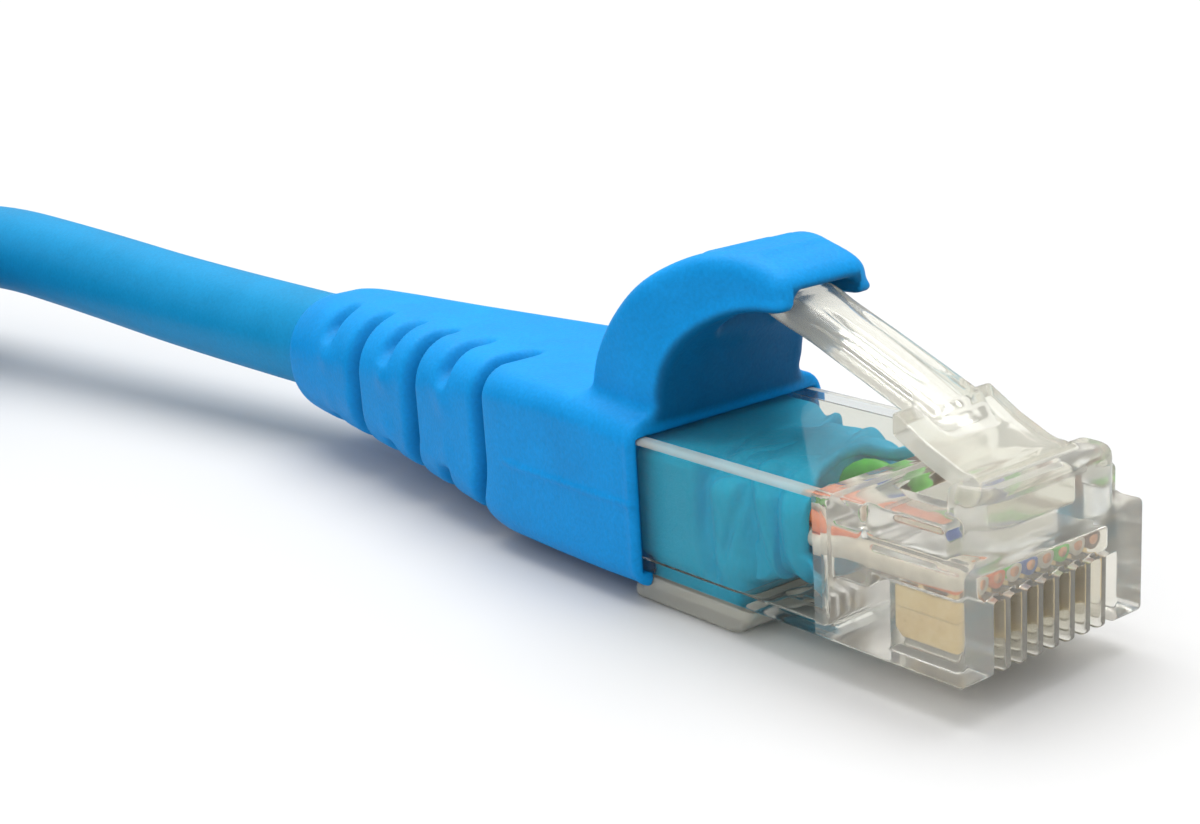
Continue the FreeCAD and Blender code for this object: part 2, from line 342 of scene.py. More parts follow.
def clear_plastic(name, colour, ior, transmission, roughness):
    """Moulded polycarbonate: a warm grey tint, cloudy haze and faint flow marks."""
    material, tree, shader = new_material(
        name, colour, roughness, Transmission_Weight=transmission, IOR=ior, Specular_IOR_Level=0.5
    )
    cloud = texture(tree, "ShaderNodeTexNoise", 320, Detail=3)
    light = tuple(min(1.0, c * 1.035) for c in colour)
    dark = tuple(c * 0.975 for c in colour)
    tint = colours(tree, cloud, "Fac", [(0.3, dark), (0.7, light)])
    link(tree, tint, "Color", shader, "Base Color")
    haze = spread(tree, cloud, "Fac", 0.35, 0.75, roughness * 0.4, roughness * 1.8)
    link(tree, haze, "Result", shader, "Roughness")
    flow = texture(tree, "ShaderNodeTexNoise", 480, Detail=2)
    bump(tree, shader, flow, "Fac", 0.12, 0.00004)
    return material


def gold_plate():
    material, tree, shader = new_material("gold_plate", (0.84, 0.66, 0.33), 0.32, Metallic=0.85)
    marks = texture(tree, "ShaderNodeTexNoise", 900, Detail=5, Roughness=0.7)
    stops = [(0.3, (0.72, 0.50, 0.22)), (0.55, (0.85, 0.67, 0.34)), (0.8, (0.93, 0.80, 0.50))]
    tint = colours(tree, marks, "Fac", stops)
    link(tree, tint, "Color", shader, "Base Color")
    rough = spread(tree, marks, "Fac", 0.3, 0.7, 0.24, 0.44)
    link(tree, rough, "Result", shader, "Roughness")
    bump(tree, shader, marks, "Fac", 0.2, 0.00002)
    return material


def bare_copper():
    material, tree, shader = new_material("bare_copper", (0.75, 0.36, 0.20), 0.3, Metallic=1.0)
    marks = texture(tree, "ShaderNodeTexNoise", 1500, Detail=4)
    tint = colours(tree, marks, "Fac", [(0.3, (0.60, 0.26, 0.13)), (0.7, (0.85, 0.46, 0.28))])
    link(tree, tint, "Color", shader, "Base Color")
    bump(tree, shader, marks, "Fac", 0.2, 0.00002)
    return material


def insulation(name, base, stripe):
    """Wire insulation: solid, or pale with a coloured stripe along it."""
    material, tree, shader = new_material(name, base, 0.35, Specular_IOR_Level=0.5)
    where = tree.nodes.new("ShaderNodeUVMap")
    where.uv_map = "UVMap"
    split = tree.nodes.new("ShaderNodeSeparateXYZ")
    link(tree, where, "UV", split, "Vector")
    edge, soft = 0.16, 0.03
    stops = [
        (0, stripe), (edge, stripe), (edge + soft, base),
        (1 - edge - soft, base), (1 - edge, stripe), (1, stripe),
    ]
    tint = colours(tree, split, "X", stops)
    cloud = texture(tree, "ShaderNodeTexNoise", 1400, Detail=3)
    shade = spread(tree, cloud, "Fac", 0.3, 0.7, 0.85, 1.1)
    tone = tree.nodes.new("ShaderNodeHueSaturation")
    link(tree, tint, "Color", tone, "Color")
    link(tree, shade, "Result", tone, "Value")
    link(tree, tone, "Color", shader, "Base Color")
    bump(tree, shader, cloud, "Fac", 0.2, 0.00002)
    return material


def woven_strap():
    """Black hook-and-loop tape: a fine weave with fuzz."""
    material, tree, shader = new_material(
        "woven_strap", (0.010, 0.010, 0.012), 0.9, Sheen_Weight=0.08, Specular_IOR_Level=0.15
    )
    weave = texture(tree, "ShaderNodeTexVoronoi", 1700)
    fuzz = texture(tree, "ShaderNodeTexNoise", 4200, Detail=5, Roughness=0.8)
    tint = colours(tree, fuzz, "Fac", [(0.3, (0.004, 0.004, 0.005)), (0.7, (0.020, 0.020, 0.023))])
    link(tree, tint, "Color", shader, "Base Color")
    first = bump(tree, shader, weave, "Distance", 0.8, 0.0003)
    bump(tree, shader, fuzz, "Fac", 0.7, 0.0002, first)
    return material


def pale_floor():
    material, tree, shader = new_material("pale_floor", (0.63, 0.63, 0.63), 0.75, Specular_IOR_Level=0.1)
    cloud = texture(tree, "ShaderNodeTexNoise", 9, Detail=3)
    tint = colours(tree, cloud, "Fac", [(0.2, (0.62, 0.62, 0.62)), (0.8, (0.65, 0.65, 0.65))])
    link(tree, tint, "Color", shader, "Base Color")
    return material


BLUE_DEEP, BLUE_LIGHT = (0.003, 0.265, 0.66), (0.006, 0.300, 0.74)
# boot_blue carries painted shade in the grooves and under the latch guard
boot_blue = moulded_blue("boot_blue", BLUE_DEEP, BLUE_LIGHT, 0.46, 0.00005, with_painted_shade=True)
inner_blue = moulded_blue("inner_blue", (0.012, 0.44, 0.73), (0.017, 0.49, 0.79), 0.55, 0.00005)
jacket_blue = moulded_blue("jacket_blue", (0.006, 0.255, 0.52), (0.009, 0.285, 0.58), 0.40, 0.00003)
clear_wall = clear_plastic("clear_wall", (0.90, 0.905, 0.86), 1.12, 0.985, 0.02)
clear_nose = clear_plastic("clear_nose", (0.95, 0.93, 0.86), 1.28, 0.86, 0.10)
clear_lever = clear_plastic("clear_lever", (0.92, 0.91, 0.83), 1.32, 0.80, 0.15)
clear_edge = clear_plastic("clear_edge", (0.80, 0.78, 0.69), 1.30, 0.60, 0.15)
gold = gold_plate()
copper = bare_copper()
strap = woven_strap()
WHITE = (0.78, 0.74, 0.68)
ORANGE, GREEN = (0.85, 0.20, 0.05), (0.10, 0.62, 0.04)
BLUE, BROWN = (0.03, 0.12, 0.55), (0.16, 0.06, 0.02)
WIRE_COLOURS = [
    ("wire_white_orange", WHITE, ORANGE), ("wire_orange", ORANGE, ORANGE),
    ("wire_white_green", WHITE, GREEN), ("wire_blue", BLUE, BLUE),
    ("wire_white_blue", WHITE, BLUE), ("wire_green", GREEN, GREEN),
    ("wire_white_brown", WHITE, BROWN), ("wire_brown", BROWN, BROWN),
]


# ---------------------------------------------------------------- placing pieces

def piece(name, data, material, body, origin, replaced):
    """An object for a mesh, put at its own frame's origin and tied to the CAD."""
    thing = bpy.data.objects.new(name, data)
    bpy.context.scene.collection.objects.link(thing)
    thing.location = row(origin)
    if material:
        data.materials.clear()
        data.materials.append(material)
    if body:
        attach(thing, body)
    if replaced:
        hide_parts(*replaced)
    return thing


# ---------------------------------------------------------------- camera and cable

def add_camera():
    """The view along the plug from its nose, near side and a little above."""
    azimuth, elevation, roll = math.radians(52.14), math.radians(16.56), math.radians(3.69)
    data = bpy.data.cameras.new("camera")
    data.lens, data.sensor_width = 58.5, 36.0
    data.shift_x, data.shift_y = -0.004, 0.011
    data.clip_start, data.clip_end = 0.001, 10
    camera = bpy.data.objects.new("camera", data)
    bpy.context.scene.collection.objects.link(camera)
    level = math.cos(elevation)
    back = Vector((math.sin(azimuth) * level, -math.cos(azimuth) * level, math.sin(elevation)))
    right = Vector((math.cos(azimuth), math.sin(azimuth), 0))
    up = back.cross(right)
    x_axis = right * math.cos(roll) - up * math.sin(roll)
    y_axis = right * math.sin(roll) + up * math.cos(roll)
    turned = Matrix((x_axis, y_axis, back)).transposed().to_4x4()
    camera.matrix_world = Matrix.Translation(row((75.95, -60.0, 34.85))) @ turned
    bpy.context.scene.camera = camera


def coil_radius(angle):
    """The outer turn below, the inner turns, then the outer turn above."""
    inward = ramp(angle, *TURN_IN)
    outward = ramp(angle, *TURN_OUT)
    return OUTER_TURN - (OUTER_TURN - INNER_TURN) * (inward - outward)


def coil_height(angle):
    """One cable thickness up for the upper turns, and a little up where the tie passes under."""
    at_tie = sum(hump(angle, TIE_ANGLE + 360 * turn, 26) for turn in range(4))
    return ON_FLOOR + CABLE_DIAMETER * ramp(angle, *STEP_UP) + TIE_LIFT * at_tie


def on_circle(radius, angle, z):
    a = math.radians(angle)
    return (COIL_CENTRE[0] + radius * math.cos(a), COIL_CENTRE[1] + radius * math.sin(a), z)


def coil_points():
    """Control points of the stored turns; they stand a little outside the line that they make."""
    step = 360 / POINTS_PER_TURN
    outside = 1 / math.cos(math.pi / POINTS_PER_TURN)
    count = int((EXIT_ANGLE - ENTRY_ANGLE) / step)
    points = []
    for k in range(1, count):
        angle = ENTRY_ANGLE + (EXIT_ANGLE - ENTRY_ANGLE) * k / count
        points.append(on_circle(coil_radius(angle) * outside, angle, coil_height(angle)))
    return points


def add_cable():
    """The whole cable as one smooth line: the lead, the stored turns and the tail to the far plug."""
    exit_z = BASE_Z + CABLE_Z
    top = CABLE_DIAMETER * 1.5
    x, y = COIL_CENTRE[0], COIL_CENTRE[1] - OUTER_TURN
    lead = [
        (-26.0, 0, exit_z), (-40.0, -1.9, 6.6), (-54.0, -4.1, 8.0), (-67.0, -6.2, 9.0), (-79.0, -8.3, 7.4),
        (-91.0, -11.2, 4.2),
    ]
    tail = [
        (x, y - 0.3, top), (x + 10, y + 0.2, top - 0.6), (x + 21.5, y + 2.6, exit_z),
        (x + 35.3, y + 2.6, exit_z),
    ]
    points = lead + coil_points() + tail
    curve = bpy.data.curves.new("cable", "CURVE")
    curve.dimensions = "3D"
    curve.bevel_depth = CABLE_RADIUS * MM
    curve.bevel_resolution = 8
    curve.resolution_u = 8
    spline = curve.splines.new("NURBS")
    spline.points.add(len(points) - 1)
    for target, point in zip(spline.points, points):
        target.co = (*row(point), 1)
    spline.order_u = 3
    spline.use_endpoint_u = True
    cable = bpy.data.objects.new("cable", curve)
    bpy.context.scene.collection.objects.link(cable)
    curve.materials.append(jacket_blue)
    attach(cable, "cable_body")
    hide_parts("cable_lead", "cable_coil", "cable_tail")
    return cable


add_camera()
cable = add_cable()


# ---------------------------------------------------------------- boot with its latch guard

# stations along the sleeve: x, half width, low z, high z, corner radius
SLEEVE = [
    (BOOT_END, 3.75, 0.75, 7.35, 3.2), (-55.2, 4.1, 0.4, 7.7, 3.4), (-53.4, 4.3, 0.25, 7.92, 3.5),
    (-50.0, 4.5, 0.1, 8.0, 3.4), (-44.0, 4.9, -0.15, 8.0, 3.0), (-38.0, 5.35, -0.5, 8.0, 2.5),
    (-33.4, 5.75, -0.72, 7.98, 2.1), (-32.2, 6.05, -0.8, 7.96, 1.8), (-30.8, 6.2, -0.85, 7.95, 1.5),
    (-26.0, 6.3, -0.85, 7.9, 1.3), (-22.5, 6.35, -0.85, 7.75, 1.25), (-20.6, 6.32, -0.85, 7.5, 1.25),
    (BOOT_FRONT, 6.28, -0.85, 7.35, 1.25),
]
GUARD_OUTER = [
    (-24.4, 6.3), (-24.4, 8.1), (-23.8, 10.1), (-22.5, 12.0), (-20.5, 13.8), (-18.3, 14.95), (-16.5, 15.3),
    (-14.9, 15.15), (-13.6, 14.8), (-12.9, 14.3), (-12.7, 13.5), (-12.7, 12.0),
]
GUARD_INNER = [
    (-19.4, 6.66), (-19.35, 7.7), (-19.2, 8.9), (-18.85, 10.0), (-18.15, 11.05), (-17.1, 11.9),
    (-15.9, 12.5), (-14.7, 12.8), (-13.4, 12.9), (-12.0, 12.9),
]
UNDER_GUARD = smooth_line(GUARD_INNER) + [(-10.0, 12.9), (-10.0, 6.66)]
TIP_NOTCH = [(-18.2, 10.3), (-18.2, 12.1), (-17.0, 12.85), (-15.4, 13.8), (-11.0, 13.8), (-11.0, 10.3)]
LONG_GROOVES = ((-32.4, 1.60), (-39.9, 1.45), (-46.5, 1.20))
SHORT_GROOVES = (-36.4, -43.1, -50.2)


def groove(g, x):
    """1 at the bottom of a groove across x: steep in front, with a longer slope behind."""
    lean = x - 0.8 * ramp(-g.z, -3.0, 0.5)
    gap = g.x - lean
    return np.exp(-(np.abs(gap / np.where(gap > 0, 0.36, 0.72)) ** 2.6))


def groove_depth(g):
    """How deep the grooves are at each point; they run over the near top edge and stop below the far one."""
    sides = np.where(g.y < 0, ramp(-g.y, 1.5, 3.0), ramp(g.y, 3.3, 4.5) * ramp(-g.z, -6.9, -5.4))
    ends = ramp(g.z, 5.9, 6.9) + 0.9 * ramp(-g.z, -1.8, -0.9)
    depth = sum(deepest * groove(g, x) for x, deepest in LONG_GROOVES)
    return sides * (depth + ends * sum(groove(g, x) for x in SHORT_GROOVES))


def guard_half_width(x):
    return 5.0 - 2.05 * ramp(x, -21.5, -14.0)


def paint_shade_in_creases(mesh):
    """Stores painted shade: how light each point of the boot is, darker deep in the grooves and under the
    guard.
    """
    places = np.empty(3 * len(mesh.vertices), np.float32)
    mesh.vertices.foreach_get("co", places)
    x, y, z = places.reshape(-1, 3).T / MM
    in_groove = np.clip(groove_depth(SimpleNamespace(x=x, y=y, z=z)) / 1.3, 0, 1)
    beyond = outline_field(UNDER_GUARD, x, z)
    beyond = np.where(np.abs(y) < 2.1, np.minimum(beyond, outline_field(TIP_NOTCH, x, z)), beyond)
    under = ramp(-beyond, -0.40, -0.05) * ramp(z, 6.8, 7.4)
    # painted shade: up to 55% darker at the groove bottoms and 60% darker inside the guard's arch
    shade = mesh.attributes.new("shade", "FLOAT", "POINT")
    shade.data.foreach_set("value", ((1 - 0.55 * in_groove) * (1 - 0.60 * under)).astype(np.float32))


def boot_mesh():
    """The boot and its latch guard, one moulding, with the block that fills the clear body's rear."""
    g = Grid((-57.4, -7.1, -1.6), (-12.4, 7.1, 16.1), 0.125)
    sleeve = section_field(g, *(along(g.x, SLEEVE, column) for column in (1, 2, 3, 4)))

    # the grooves, and knobs on both sides in line with the short ones
    sleeve = sleeve + groove_depth(g)
    heights = hump(g.z, 5.3, 0.75) + 0.5 * hump(g.z, 2.4, 0.8)
    for x in SHORT_GROOVES:
        knob = hump(g.x, x, 0.75) * heights * ramp(np.abs(g.y), 2.5, 3.5)
        sleeve = sleeve - 0.20 * knob

    # the moulding's seam, the rim at the front, and the round tail with the cable's hole
    seam = hump(g.z, 3.45, 0.14) * ramp(g.x, -30.5, -29.5) * ramp(np.abs(g.y), 2.3, 3.7)
    rim = hump(g.x, BOOT_FRONT - 0.2, 0.28)
    sleeve = sleeve - 0.12 * seam - 0.10 * rim
    sleeve = common(sleeve, BOOT_END - g.x, 2.2)
    sleeve = common(sleeve, g.x - BOOT_FRONT, 0.5)
    hole = np.sqrt(g.y ** 2 + (g.z - CABLE_Z) ** 2) - (CABLE_RADIUS + 0.06)
    sleeve = cut(sleeve, np.maximum(hole, g.x - (BOOT_END + 2.5)), 0.5)

    # the arch of the latch guard, and the opening right across under it
    half = guard_half_width(g.x)
    outer = smooth_line(GUARD_OUTER) + [(GUARD_OUTER[-1][0], 6.3)]
    arch = outline_field(outer, g.x, g.z)
    arch = common(arch, (np.abs(g.y) - half) * 0.96, 1.1)
    arch = common(arch, 7.0 - g.z, 0.5)
    body = join(sleeve, arch, 0.7)
    under_field = outline_field(UNDER_GUARD, g.x, g.z)
    opening = common(under_field, np.where(g.y < 0, -g.y - (half + 0.6), g.y - 7.0), 0.4)
    body = cut(body, opening, 0.45)

    # a fine lip round the inner edge of the arch, the notch for the latch tip, ridges for the thumb
    near_edge = ramp(np.abs(g.y), half - 0.7, half - 0.15)
    lip = hump(under_field, 0.28, 0.30) * near_edge * ramp(g.z, 7.9, 8.8)
    body = body - 0.12 * lip
    body = cut(body, slab_field(g, TIP_NOTCH, -2.0, 2.0, 0.55), 0.3)
    for x in (-18.6, -16.9, -15.2):
        ridge = hump(g.x, x, 0.34) * ramp(-np.abs(g.y), -2.4, -1.8) * ramp(g.z, 13.5, 14.2)
        body = body - 0.11 * ridge

    # the pocket for the clear body's rear, and the folded block that fills it
    gap = 0.03
    pocket = box_field(g, (-LENGTH - 0.05, -HALF - gap, -gap), (-16, HALF + gap, HEIGHT + gap), 0.1)
    foot_pocket = box_field(g, (-LENGTH - 0.65, -5.33, -3.0), (-16, 5.33, 0.3), 0.1)
    body = cut(cut(body, pocket, 0.1), foot_pocket, 0.1)
    block = box_field(g, (-22.5, -5.0, 0.45), (-16.4, 5.0, 6.0), 0.6)
    heel = box_field(g, (-20.4, -4.75, FOOT_POCKET + 0.1), (-14.0, 4.75, 3.2), 0.8)
    bulge = box_field(g, (-17.0, -4.85, 0.45), (-14.0, 4.85, 5.5), 1.1)
    neck = box_field(g, (-16.5, -4.1, 0.6), (-12.0, 4.1, 5.7), 1.2)
    folds = 0.26 * np.sin((g.x + 0.25 * (g.z - 3)) * 3.6) * ramp(np.abs(g.y), 2.6, 3.9)
    folds = folds + 0.26 * np.sin((g.x + 0.45 * np.abs(g.y)) * 2.7) * ramp(g.z, 4.6, 5.6)
    block = join(join(block, bulge, 0.35), heel, 0.5)
    valley = hump(g.x + 0.12 * (g.z - 3), -16.1, 0.42) * ramp(np.abs(g.y), 2.8, 4.2) * ramp(g.z, -0.6, 1.2)
    pleat = hump(g.x - 0.25 * (g.z - 3), -14.6, 0.22) * ramp(np.abs(g.y), 2.8, 4.2) * ramp(g.z, 1.0, 2.6)
    crease = hump(g.x + 0.5 * np.abs(g.y + 1.5), -14.6, 0.5) * ramp(g.z, 4.8, 5.7)
    block = block + 0.55 * valley + 0.35 * pleat + 0.5 * crease
    block = join(block, neck + folds, 0.6)
    mesh = skin("boot_with_guard", g, join(body, block, 0.3))
    # painted shade in the grooves and under the guard, kept on the mesh for the boot's material
    paint_shade_in_creases(mesh)
    return mesh


# ---------------------------------------------------------------- clear body and latch

def way_y(way):
    """The middle of one contact's slot across the plug."""
    return (way - (WAYS - 1) / 2) * PITCH


def pivot_field(g):
    """Distance from the line that the latch turns about."""
    return np.sqrt((g.x - LATCH_PIVOT[0]) ** 2 + (g.z - LATCH_PIVOT[1]) ** 2)


def housing_mesh():
    """The clear plug body: a block with a stepped nose, a rear foot, the latch's root and its hollows."""
    g = Grid((-21.7, -6.3, -2.2), (0.5, 6.3, 8.5), 0.085)
    side = [
        (0, 0), (0, NOSE_HEIGHT), (-NOSE_STEP, NOSE_HEIGHT), (-NOSE_STEP, HEIGHT),
        (-LENGTH, HEIGHT), (-LENGTH, 0),
    ]
    body = slab_field(g, side, -HALF, HALF, 0.28)
    foot = [
        (-12.2, 0.4), (-13.6, -1.5), (-14.4, -1.75), (-21.2, -1.75), (-21.2, -0.95),
        (-LENGTH, -0.95), (-LENGTH, 0.4),
    ]
    body = join(body, slab_field(g, foot, -5.3, 5.3, 0.3), 0.25)
    trench_side = [(-6.3, 6.75), (-5.5, 5.35), (-2.4, 5.35), (-2.4, 9.0), (-6.3, 9.0)]
    trench = slab_field(g, trench_side, -2.95, 2.95, 0.2)
    body = cut(body, trench, 0.15)
    ledge = np.maximum(np.maximum(5.42 - np.abs(g.y), NOSE_HEIGHT - g.z), -5.4 - g.x)
    body = cut(body, ledge, 0.15)
    root = [(0, 4.5), (0, 7.95), (-2.3, 7.95), (-2.3, 4.5)]
    corner = common(slab_field(g, root, -4.4, 4.4, 0.6), (g.x + np.abs(g.y) - 3.8) * 0.7071, 0.7)
    body = join(body, corner, 0.15)
    neck = [(-1.2, 5.0), (-1.2, 7.9), (-1.6, 7.9), (-1.95, 6.75), (-2.5, 6.7), (-2.5, 5.0)]
    body = join(body, slab_field(g, neck, -2.85, 2.85, 0.15), 0.15)
    trough = np.maximum(pivot_field(g) - (KNUCKLE_RADIUS + KNUCKLE_GAP), np.abs(g.y) - 3.12)
    body = cut(body, trough, 0.05)

    # the rear cavity, the pocket in the foot, and the channel that narrows to the wires' own row
    body = cut(body, box_field(g, (-LENGTH - 3, -5.12, 0.3), (-8.0, 5.12, 6.1), 0.35), 0.1)
    body = cut(body, box_field(g, (-LENGTH - 3, -4.9, FOOT_POCKET), (-13.85, 4.9, 1.5), 0.3), 0.1)
    body = cut(body, box_field(g, (-9.0, -4.3, 2.5), (-6.0, 4.3, 5.0), 0.25), 0.15)
    body = cut(body, box_field(g, (-7.0, -4.12, 3.15), (-0.95, 4.12, 4.25), 0.2), 0.1)
    for way in range(WAYS):
        y = way_y(way)
        slot = box_field(g, (-5.1, y - SLOT_WIDTH / 2, -1.0), (1.5, y + SLOT_WIDTH / 2, 3.2), 0.08)
        body = cut(body, slot, 0.12)

    # the bar that is pressed on the jacket, over its window in the underside
    bar = [(-12.3, 0.1), (-12.3, 0.45), (-9.7, 1.6), (-9.1, 1.6), (-8.3, 0.5), (-8.3, 0.1)]
    body = join(body, slab_field(g, bar, -3.6, 3.6, 0.12), 0.15)
    window = box_field(g, (-11.6, -3.1, -1.0), (-9.0, 3.1, 0.35), 0.15)
    body = cut(body, window, 0.1)
    return skin("clear_body", g, body)


def latch_mesh():
    """The clear latch: its knuckle, the wide plate with the locking shoulders, and the lever."""
    g = Grid((-16.2, -3.7, 6.2), (-0.8, 3.7, 14.4), 0.075)
    shape = common(pivot_field(g) - KNUCKLE_RADIUS, np.abs(g.y) - KNUCKLE_HALF, 0.15)
    plate = [
        (-1.75, 7.6), (-1.9, 7.9), (-2.8, 8.15), (-4.4, 8.85), (-6.2, 9.9), (-6.2, 8.8),
        (-4.6, 7.95), (-3.0, 7.3), (-2.1, 7.05),
    ]
    shape = join(shape, slab_field(g, plate, -KNUCKLE_HALF, KNUCKLE_HALF, 0.14), 0.3)
    lever = [
        (-4.2, 8.75), (-5.0, 10.0), (-9.9, 12.0), (-13.4, 13.35), (-14.7, 13.65), (-15.35, 13.1),
        (-15.1, 12.4), (-7.6, 9.35), (-5.6, 8.55),
    ]
    half = 1.62 + 0.22 * ramp(-g.x, 12.2, 14.6)
    arm = common(outline_field(lever, g.x, g.z), np.abs(g.y) - half, 0.7)
    shape = join(shape, arm, 0.2)

    # two faint lines down the smooth top, and a deep recess along each flank that tapers at the tip
    top_slope, top_cosine = 0.3796, 0.935
    under_slope, under_cosine = 0.4067, 0.926
    over = (g.z - (10.0 + (-5.0 - g.x) * top_slope)) * top_cosine
    length = ramp(-g.x, 6.0, 7.5) * ramp(g.x, -12.8, -10.5)
    shape = shape + 0.2 * hump(np.abs(g.y), 0.72, 0.17) * length * ramp(over, -0.5, -0.2)
    under = (g.z - (9.35 + (-7.6 - g.x) * under_slope)) * under_cosine
    flank = np.sqrt((np.abs(g.y) - 1.78) ** 2 + (under - 0.78) ** 2) - 0.46 * ramp(g.x, -13.9, -11.4)
    shape = cut(shape, np.maximum(flank, g.x + 6.4), 0.12)
    return skin("clear_latch", g, shape)


# ---------------------------------------------------------------- jacket mouth, wires, contacts

# where each wire leaves the jacket's mouth, as y and z
AT_MOUTH = (
    (-2.75, 3.15), (-2.65, 4.15), (-1.2, 4.35), (-0.95, 3.0),
    (0.45, 2.9), (0.75, 5.05), (2.3, 3.2), (2.7, 4.25),
)


def jacket_mesh():
    """The jacket's cut end: pinched by the clamp, with a tongue above and a lip below the wires."""
    g = Grid((-20.0, -4.0, 0.0), (-8.0, 4.0, 6.6), 0.085)
    half = 3.05 + 0.85 * ramp(g.x, -18.0, -14.5)
    outer = section_field(g, half, 0.75, 5.9, 2.0)
    outer = outer + 0.16 * np.sin(g.x * 4.1 + 0.6 * g.z) * ramp(np.abs(g.y), 1.8, 3.2)
    outer = outer + 0.10 * np.sin(g.x * 2.3 + g.y) * ramp(g.z, 4.4, 5.4)
    tongue = -12.3 + 0.45 * np.maximum(-g.y, 0) + 2.2 * hump(g.y, 2.5, 0.85)
    lip = -10.5 + 0.40 * np.maximum(-g.y, 0) - 1.5 * ramp(g.y, -1, 2)
    middle = -10.9 - 2.4 * ramp(g.y, -1.5, 1.5)
    front = middle + (tongue - middle) * ramp(g.z, 4.2, 5.4) + (lip - middle) * ramp(-g.z, -2.6, -1.7)
    shell = common(outer, (g.x - front) * 0.75, 0.35)
    shell = cut(shell, outer + 0.62, 0.2)
    shell = common(shell, -19.4 - g.x, 0.2)
    dx, dy, dz = (g.x + 13.7) / 1.25, (np.abs(g.y) - 3.45) / 0.95, (g.z - 1.65) / 1.05
    knob = np.sqrt(dx ** 2 + dy ** 2 + dz ** 2) - 1
    return skin("jacket_mouth", g, join(shell, knob * 0.9, 0.4))


def frames_along(points):
    """Tangents and two steady cross directions at each point of a line."""
    p = [Vector(q) for q in points]
    frames, up = [], Vector((0, 0, 1))
    for i, q in enumerate(p):
        tangent = (p[min(i + 1, len(p) - 1)] - p[max(i - 1, 0)]).normalized()
        side = tangent.cross(up).normalized()
        frames.append((q, side, side.cross(tangent)))
    return frames


def tube_mesh(name, points, radius, twist, around=18):
    """A closed tube with UV: u once round it and v along it."""
    frames = frames_along(points)
    vertices, faces, uvs = [], [], []
    for i, (centre, side, up) in enumerate(frames):
        for k in range(around):
            a = 2 * math.pi * k / around + twist * i / len(frames)
            vertices.append((centre + (side * math.cos(a) + up * math.sin(a)) * radius) * MM)
    for i in range(len(frames) - 1):
        for k in range(around):
            n = (k + 1) % around
            faces.append((i * around + k, i * around + n, (i + 1) * around + n, (i + 1) * around + k))
            uvs += [(k / around, i), ((k + 1) / around, i), ((k + 1) / around, i + 1), (k / around, i + 1)]
    last = (len(frames) - 1) * around
    faces += [tuple(reversed(range(around))), tuple(range(last, last + around))]
    uvs += [(0.5, 0)] * (2 * around)
    mesh = bpy.data.meshes.new(name)
    mesh.from_pydata(vertices, [], faces)
    layer = mesh.uv_layers.new(name="UVMap")
    layer.data.foreach_set("uv", np.array(uvs, np.float32).ravel())
    mesh.shade_smooth()
    return mesh


def wire_line(way):
    """From the twisted pair in the jacket to the wire's own place over its contact."""
    pair, turn = divmod(way, 2)
    y_row = way_y(way)
    y_pair, z_pair = (pair - 1.5) * 1.25, 3.35
    lift = 0.55 if pair in (1, 2) else -0.45
    points = []
    for k, x in enumerate((-17.5, -16.0, -14.5, -13.2)):
        a = math.pi * (turn + 0.36 * k + 0.5 * pair)
        points.append((x, y_pair + 0.50 * math.cos(a), z_pair + lift + 0.50 * math.sin(a)))
    y_mouth, z_mouth = AT_MOUTH[way]
    points.append((-11.4, y_mouth, z_mouth))
    points.append((-9.7, y_mouth * 0.4 + y_row * 0.6, z_mouth * 0.7 + WIRE_ROW_Z * 0.3))
    points += [(x, y_row, WIRE_ROW_Z) for x in (-7.9, -6.4, -4.0, -1.35)]
    return smooth_line(points, 5)


def contact_mesh():
    """A gold blade with its two teeth, bevelled along every edge."""
    outline = [
        (-1.45, 0.70), (-1.12, 1.0), (-1.12, 2.95), (-1.75, 2.95), (-1.95, 3.75), (-2.15, 2.95),
        (-3.35, 2.95), (-3.55, 3.75), (-3.75, 2.95), (-4.88, 2.95), (-4.88, 1.05), (-4.5, 0.70),
    ]
    g = Grid((-5.2, -0.4, 0.3), (-0.8, 0.4, 4.1), 0.03)
    blade = slab_field(g, outline, -0.17, 0.17, 0.05)
    crease = np.sqrt((np.abs(g.y) - 0.19) ** 2 + (g.z - 2.05) ** 2) - 0.05
    return skin("contact_blade", g, cut(blade, crease, 0.02))


# ---------------------------------------------------------------- tie round the stored turns

